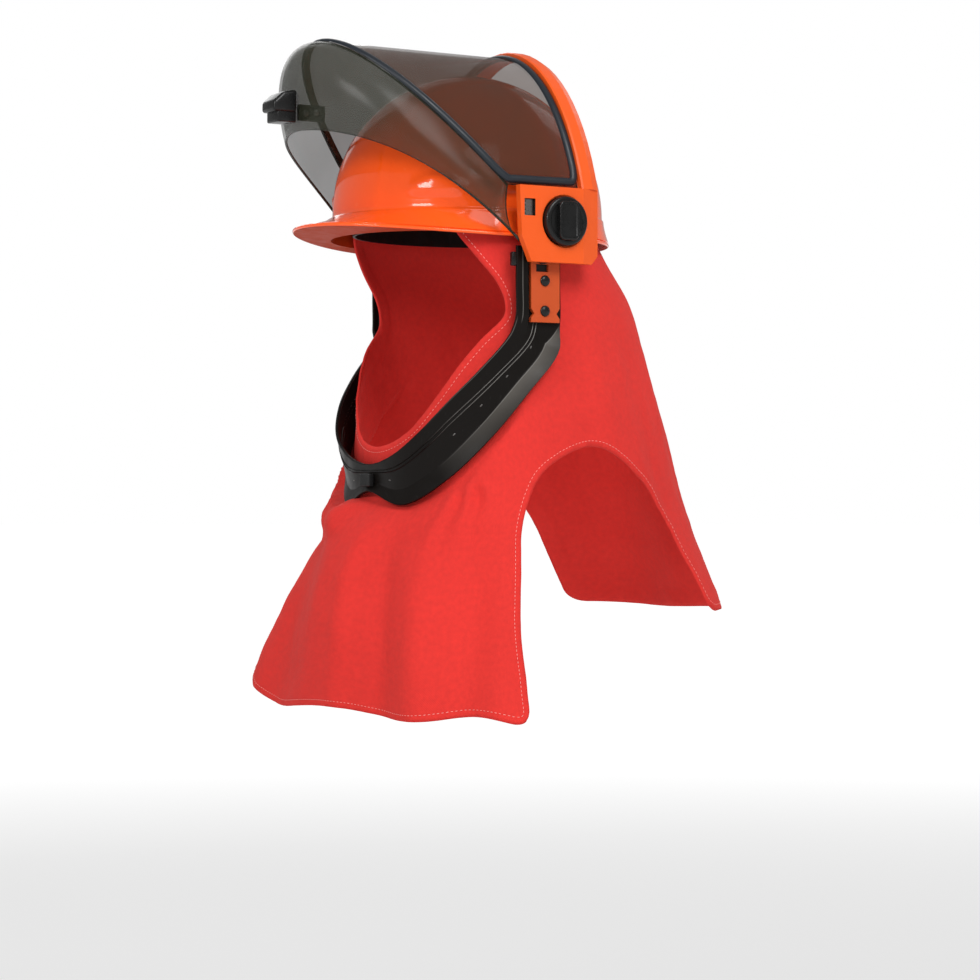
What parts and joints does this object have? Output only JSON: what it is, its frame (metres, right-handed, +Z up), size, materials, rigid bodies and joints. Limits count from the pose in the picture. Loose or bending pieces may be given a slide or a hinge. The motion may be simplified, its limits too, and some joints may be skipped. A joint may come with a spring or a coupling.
{
  "type": "lift-front arc-flash hood",
  "caption": "Cloth arc-flash hood hung from a hard hat, with a tinted visor on a hinged frame that lifts over the hat, a moulded chin guard and a bib.",
  "frame": {"origin": "middle of the hard hat at the height of its rim, where the wearer's head carries it", "axes": "+Z up, -Y the way the wearer faces, +X the wearer's left"},
  "size_m": [0.4245, 0.4058, 0.5385],
  "materials": {
    "hat_orange": "gloss",
    "frame_orange": "satin gloss",
    "bracket_orange": "satin",
    "black_plastic": "satin",
    "gasket_rubber": "satin",
    "red_cloth": "woven, matte",
    "spring_steel": "bright",
    "window_tint": "clear grey-green tint, gloss",
    "cup_tint": "smoky tint, gloss"
  },
  "bodies": {
    "hood": {"hat_shell": "hat_orange", "headband": "black_plastic", "hood_cloth": "red_cloth", "chin_guard": "black_plastic", "guard_catch": "black_plastic", "bracket_left": "bracket_orange", "pivot_pin_left": "black_plastic", "bracket_right": "bracket_orange", "pivot_pin_right": "black_plastic", "rivet_left_upper": "black_plastic", "rivet_left_lower": "black_plastic", "rivet_right_upper": "black_plastic", "rivet_right_lower": "black_plastic"},
    "visor": {"visor_frame": "frame_orange", "visor_window": "window_tint", "window_gasket": "gasket_rubber", "chin_cup": "cup_tint", "lift_tab": "black_plastic", "tab_tongue": "black_plastic", "tab_screw_1": "black_plastic", "tab_screw_2": "black_plastic", "slot_spring_left": "spring_steel", "slot_spring_right": "spring_steel"},
    "left_knob": {"knob_left": "black_plastic"},
    "right_knob": {"knob_right": "black_plastic"}
  },
  "joints": [
    {"name": "visor_lift", "type": "hinge", "parent": "hood", "child": "visor", "pos_m": [0, 0, -0.017], "axis": [1, 0, 0], "range_deg": [0, 92]},
    {"name": "left_knob_turn", "type": "hinge", "parent": "visor", "child": "left_knob", "pos_m": [0.128, 0.015, 0.011], "axis": [1, 0, 0], "range_deg": [0, 90]},
    {"name": "right_knob_turn", "type": "hinge", "parent": "visor", "child": "right_knob", "pos_m": [-0.128, 0.015, 0.011], "axis": [-1, 0, 0], "range_deg": [0, 90]}
  ]
}
